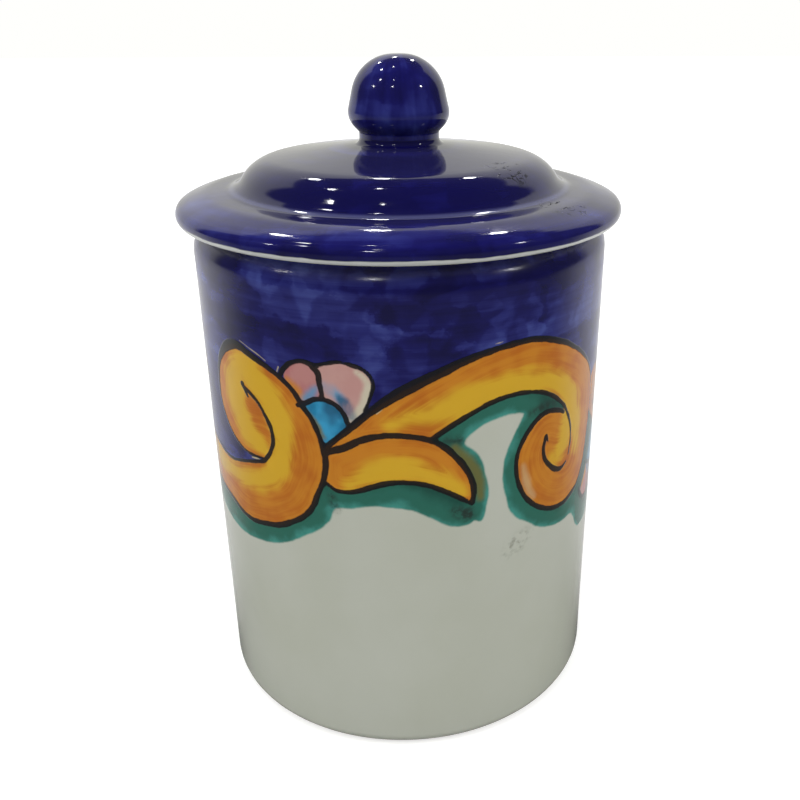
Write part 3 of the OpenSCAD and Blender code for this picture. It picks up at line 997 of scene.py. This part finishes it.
def make_jar():
    outline = rounded([
        (0, FOOT_RECESS, 0),
        (FOOT_R - 1.5, FOOT_RECESS, 1.2),
        (FOOT_R, 0, 0.6),
        (WALL_R, 0, FOOT_ROUND),
        (WALL_R, LIP_Z - LIP_LEAN_H, 7),
        (WALL_R - LIP_LEAN, LIP_Z, 1),
        (MOUTH_R, LIP_Z, 1.2),
        (MOUTH_R, FLOOR_Z, 9),
        (0, FLOOR_Z, 0),
    ], 12.0)
    outline = divided(outline, 12.0, (PAINTED_LOW_Z, PAINTED_TOP_Z, PAINTED_ROW))
    piece = turned_piece("jar_glazed", outline, JAR_STEPS)
    divide_finely(piece, [*BARE_SLIPS, ARCH_UNDER[6:], ARCH_HOOK, ARCH_BARB, DIP_BARB], 0.5)
    points = spots_of(piece)
    radius = np.hypot(points[:, 0], points[:, 1])
    paint_jar(piece)
    heights = [FOOT_ROUND, FOOT_ROUND + 5, LIP_Z - 12.6, LIP_Z - 5.6]
    wall_share = np.interp(points[:, 2], heights, [0, 1, 1, 0])
    uneven(piece, np.where(radius > WALL_R - 0.5, wall_share, 0), 0.2, 30)
    dress(piece, painted_jar_glaze(), "jar", "jar_body")


def make_lid(material):
    top = [
        (0, SOCKET_Z, 0),
        (SOCKET_R, SOCKET_Z, 0),
        (SOCKET_R, SEAT_Z, 0),
        (NECK_R, SEAT_Z, 0),
        (NECK_R, CROWN_Z, 1.3),
        (SHOULDER_R, SHOULDER_Z, 11),
        (DOME_R, DOME_FOOT_Z, 6),
        (BROW_R, BROW_Z, 10),
        (RIM_TURN_R, RIM_TURN_Z, 8),
        (RIM_R, RIM_EDGE_Z, 2.6),
        (RIM_R, LIP_Z + RIM_UNDER_RISE, 2.2),
    ]
    under = [
        (RIM_R - RIM_UNDER_W, LIP_Z, 1.5),
        (COLLAR_R, LIP_Z, 0.8),
        (COLLAR_R, GROOVE_TOP_Z, 0),
        (GROOVE_R, GROOVE_TOP_Z, 0),
        (GROOVE_R, GROOVE_LOW_Z, 0),
        (COLLAR_R, GROOVE_LOW_Z, 0),
        (COLLAR_R, COLLAR_Z, 1.4),
        (COLLAR_IN_R, COLLAR_Z, 1.4),
        (COLLAR_IN_R, LIP_Z, 4),
        (CEILING_R, CEILING_Z, 5),
        (0, CEILING_Z, 0),
    ]
    outline = divided(rounded(top + under, 5.0), 1.6)
    piece = turned_piece("lid_glazed", outline, LID_STEPS)
    points = spots_of(piece)
    radius = np.hypot(points[:, 0], points[:, 1])
    # The top side lies above the hollow's slope and outside the collar
    hollow = np.interp(radius, [0, CEILING_R, COLLAR_IN_R, COLLAR_R], [CEILING_Z, CEILING_Z, LIP_Z, LIP_Z])
    outside = points[:, 2] > hollow + 0.6
    set_mark(piece, "painted", outside)
    top_share = np.interp(radius, [NECK_R, NECK_R + 5], [0, 1])
    top_share *= np.interp(points[:, 2], [LIP_Z + 1, LIP_Z + 4], [0, 1])
    uneven(piece, np.where(outside, top_share, 0), 0.16, 24)
    dress(piece, material, "lid", "lid_shell")


def make_knob(material):
    outline = rounded([
        (0, TENON_Z, 0),
        (TENON_R, TENON_Z, 0),
        (TENON_R, SEAT_Z, 0),
        (NECK_R, SEAT_Z, 0),
        (NECK_R, NECK_TOP_Z, 0.6),
        (KNOB_R, KNOB_WIDE_Z, 4.1),
        (KNOB_TOP_R, KNOB_TOP_Z, 9.2),
        (0, KNOB_TOP_Z, 0),
    ], 4.0)
    piece = turned_piece("knob_glazed", divided(outline, 0.8), KNOB_STEPS)
    points = spots_of(piece)
    uneven(piece, np.interp(points[:, 2], [SEAT_Z, KNOB_WIDE_Z], [0, 1]), 0.16, 9)
    dress(piece, material, "lid", "lid_knob")


def make_seal(material):
    low, top = seal_low[2], seal_high[2]
    outline = rounded([
        (SEAL_IN_R, low, 0.2),
        (SEAL_OUT_R, low, 0.35),
        (SEAL_OUT_R, low + SEAL_LIP_H, 0.35),
        (SEAL_BAND_R, low + SEAL_LIP_H, 0.25),
        (SEAL_BAND_R, top - SEAL_LIP_H, 0.25),
        (SEAL_OUT_R, top - SEAL_LIP_H, 0.35),
        (SEAL_OUT_R, top, 0.35),
        (SEAL_IN_R, top, 0.2),
    ], 15.0)
    outline.append(outline[0])
    piece = turned_piece("seal_soft", outline, SEAL_STEPS)
    dress(piece, material, "seal", "seal_ring")


# Stage: floor, surroundings, lamps and camera
FLOOR_WIDE = 6.0
BACKDROP_BRIGHT = 0.83


def make_floor():
    """Pale floor that keeps the jar's shadow, and is white to the camera, all the more so far off."""
    bpy.ops.object.select_all(action="DESELECT")
    bpy.ops.mesh.primitive_plane_add(size=FLOOR_WIDE, location=(0, 0, -0.2 * MM))
    floor = bpy.context.object
    floor.name = "floor"
    finish = Finish("floor")
    tree = finish.tree
    tree.nodes.remove(finish.shader)
    grain = finish.noise(finish.place, 90.0, detail=3)
    away = finish.node("ShaderNodeVectorMath", {0: finish.place}, operation="LENGTH").outputs["Value"]
    rays = finish.node("ShaderNodeLightPath").outputs
    # The glaze mirrors a dim floor in front and the white backdrop's foot behind
    colour = finish.mix(rays["Is Glossy Ray"], finish.mix(grain, FLOOR_PALE, FLOOR_PALER), FLOOR_MIRRORED)
    matt = finish.node("ShaderNodeBsdfDiffuse", {"Color": colour})
    ahead = finish.node("ShaderNodeSeparateXYZ", {"Vector": finish.place}).outputs["Y"]
    behind = finish.spread(finish.math("DIVIDE", ahead, away), -0.2, 0.5, 0.0, 0.8)
    seen = finish.math("MAXIMUM", rays["Is Camera Ray"], rays["Is Transmission Ray"])
    seen = finish.math("MAXIMUM", seen, finish.math("MULTIPLY", rays["Is Glossy Ray"], behind))
    lift = finish.math("MULTIPLY", seen, finish.spread(away, 0.1, 0.45, 0.62, 1.0))
    glow = finish.node("ShaderNodeEmission", {"Strength": lift})
    both = finish.node("ShaderNodeAddShader", {0: matt.outputs[0], 1: glow.outputs[0]})
    tree.links.new(both.outputs[0], tree.nodes["Material Output"].inputs["Surface"])
    floor.data.materials.append(finish.material)


def make_surroundings():
    """Soft light from pale walls, a dim room with a white backdrop for the glaze to mirror, and plain white
    where the camera looks past the floor."""
    world = bpy.data.worlds.new("surroundings")
    world.use_nodes = True
    world.node_tree.nodes.clear()
    bpy.context.scene.world = world
    room = Nodes(world.node_tree)

    def grey(level, blue=0.98):
        return (level, level, blue * level, 1)

    way = room.node("ShaderNodeTexCoord").outputs["Generated"]
    parts = room.node("ShaderNodeSeparateXYZ", {"Vector": way}).outputs
    rise, back = parts["Z"], parts["Y"]
    soft = room.shades(
        rise, (0.0, grey(0.8)), (sin(radians(16)), grey(0.74)), (sin(radians(34)), grey(0.3)),
        (1.0, grey(0.26)))
    soft = room.mix(room.spread(back, -1.0, 1.0, 0.5, 1.0, smooth=False), grey(0.0), soft)
    dim = room.shades(
        rise, (0.0, grey(0.06)), (sin(radians(24)), grey(0.1)), (sin(radians(50)), grey(0.08)),
        (1.0, grey(0.06)))
    level = room.math("SQRT", room.math("SUBTRACT", 1.0, room.math("MULTIPLY", rise, rise)))
    behind = room.spread(room.math("DIVIDE", back, level), 0.4, 0.54)
    backdrop = room.math("MULTIPLY", behind, room.spread(rise, 0.72, 0.68))
    mirrored = room.mix(backdrop, dim, grey(BACKDROP_BRIGHT, 0.9))
    rays = room.node("ShaderNodeLightPath").outputs
    seen = room.math("MAXIMUM", rays["Is Camera Ray"], rays["Is Transmission Ray"])
    light = room.mix(rays["Is Glossy Ray"], soft, mirrored)
    sky = room.node("ShaderNodeBackground", {"Color": room.mix(seen, light, grey(1.0))})
    out = room.node("ShaderNodeOutputWorld")
    room.tree.links.new(sky.outputs[0], out.inputs["Surface"])


LAMP_FAR = 1.2
LAMP_BRIGHT = 70
# Each lamp: turn from the front towards the right and height above level in degrees, size in metres
LAMPS = (
    ("back", -176, 43, 0.06, 0.05),
    ("back_left", -150, 47, 0.06, 0.07),
    ("back_right", 158, 47, 0.07, 0.07),
    ("overhead", -132, 80, 0.04, 0.04),
    ("left_high", -106, 63, 0.06, 0.08),
    ("left_front", -64, 49, 0.06, 0.06),
    ("left_low", -72, 31, 0.06, 0.045),
    ("front_high", -17, 56, 0.03, 0.04),
    ("front", -17, 38, 0.1, 0.04),
    ("right_low", 66, 32, 0.075, 0.05),
)
# Large soft lamps, too matt and even for the glaze to mirror, in the same form
SOFT_BRIGHT = 3.7
SOFT_LAMPS = (
    ("soft_left", -58, 44, 0.9, 0.9),
    ("soft_right", 62, 38, 0.9, 0.9),
    ("soft_top", 0, 84, 0.7, 0.7),
)


def hang_lamp(name, turn, rise, width, depth, bright):
    """Hang one round lamp at its bearing, aimed at the lid."""
    level = cos(radians(rise))
    way = Vector((sin(radians(turn)) * level, -cos(radians(turn)) * level, sin(radians(rise))))
    light = bpy.data.lights.new("lamp_" + name, "AREA")
    light.shape = "ELLIPSE"
    light.size = width
    light.size_y = depth
    # As bright to look at whatever the lamp's size
    light.energy = bright * pi * pi * width * depth / 4
    lamp = bpy.data.objects.new("lamp_" + name, light)
    lamp.location = Vector((0, 0, SHOULDER_Z * MM)) + way * LAMP_FAR
    lamp.rotation_euler = way.to_track_quat("Z", "Y").to_euler()
    lamp.visible_camera = False
    bpy.context.scene.collection.objects.link(lamp)
    return lamp


def make_lamps():
    for lamp in LAMPS:
        hang_lamp(*lamp, LAMP_BRIGHT)
    for lamp in SOFT_LAMPS:
        hang_lamp(*lamp, SOFT_BRIGHT).visible_glossy = False


CAMERA_PLACE = Vector((0, -196.63, 152.26)) * MM
CAMERA_DOWN = 23.86
CAMERA_TURN = 3.05
CAMERA_LENS = 39.89
CAMERA_SHIFT = -0.0602


def make_camera():
    """Camera at the photograph's place, its shift taking up the photograph's off-centre crop."""
    camera = bpy.data.objects.new("camera", bpy.data.cameras.new("camera"))
    camera.location = CAMERA_PLACE
    camera.rotation_euler = (radians(90 - CAMERA_DOWN), 0, radians(-CAMERA_TURN))
    camera.data.sensor_width = 36
    camera.data.lens = CAMERA_LENS
    camera.data.shift_x = CAMERA_SHIFT
    camera.data.clip_start = 0.01
    bpy.context.scene.collection.objects.link(camera)
    bpy.context.scene.camera = camera


make_camera()
make_jar()
make_lid(lid_glaze())
make_knob(knob_glaze())
make_seal(silicone())
make_floor()
make_surroundings()
make_lamps()
bpy.context.scene.view_settings.view_transform = "Standard"
